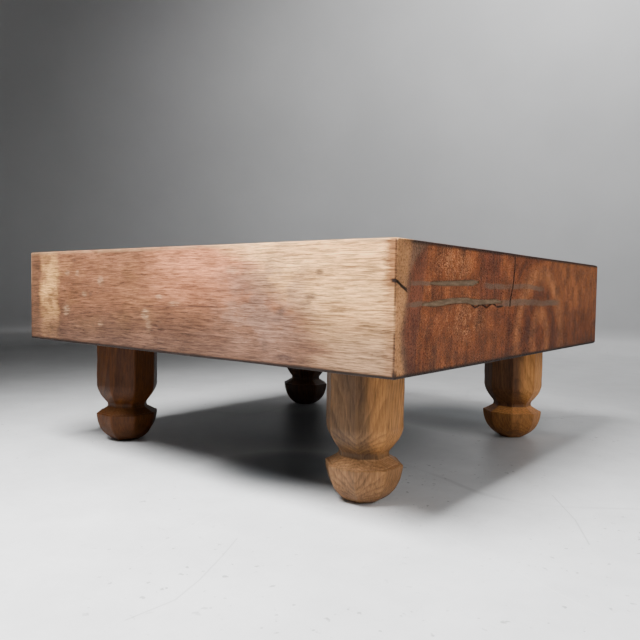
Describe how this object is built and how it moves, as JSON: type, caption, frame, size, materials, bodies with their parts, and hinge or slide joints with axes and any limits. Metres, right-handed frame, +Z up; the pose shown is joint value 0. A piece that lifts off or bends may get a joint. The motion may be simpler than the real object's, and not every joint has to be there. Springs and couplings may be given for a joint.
{
  "type": "low table",
  "caption": "Low square table: a thick solid-wood block on carved octagonal pod-footed legs, with filled drying cracks in one end.",
  "frame": {"origin": "on the floor, under the middle of the block", "axes": "+Z up; X along the block's grain, with the filled end facing +X; Y across the grain, with the sapwood side facing -Y"},
  "size_m": [0.602, 0.595, 0.265],
  "materials": {
    "block_wood": "aged bare hardwood, satin from handling, pale sapwood along one side",
    "leg_wood": "hand-carved, softly burnished brown hardwood",
    "filler": "matt grey-brown wood filler"
  },
  "bodies": {
    "root": {"block": "block_wood", "leg_front_right": "leg_wood", "leg_front_left": "leg_wood", "leg_rear_right": "leg_wood", "leg_rear_left": "leg_wood", "crack_filler_upper": "filler", "crack_filler_lower": "filler"}
  },
  "joints": []
}
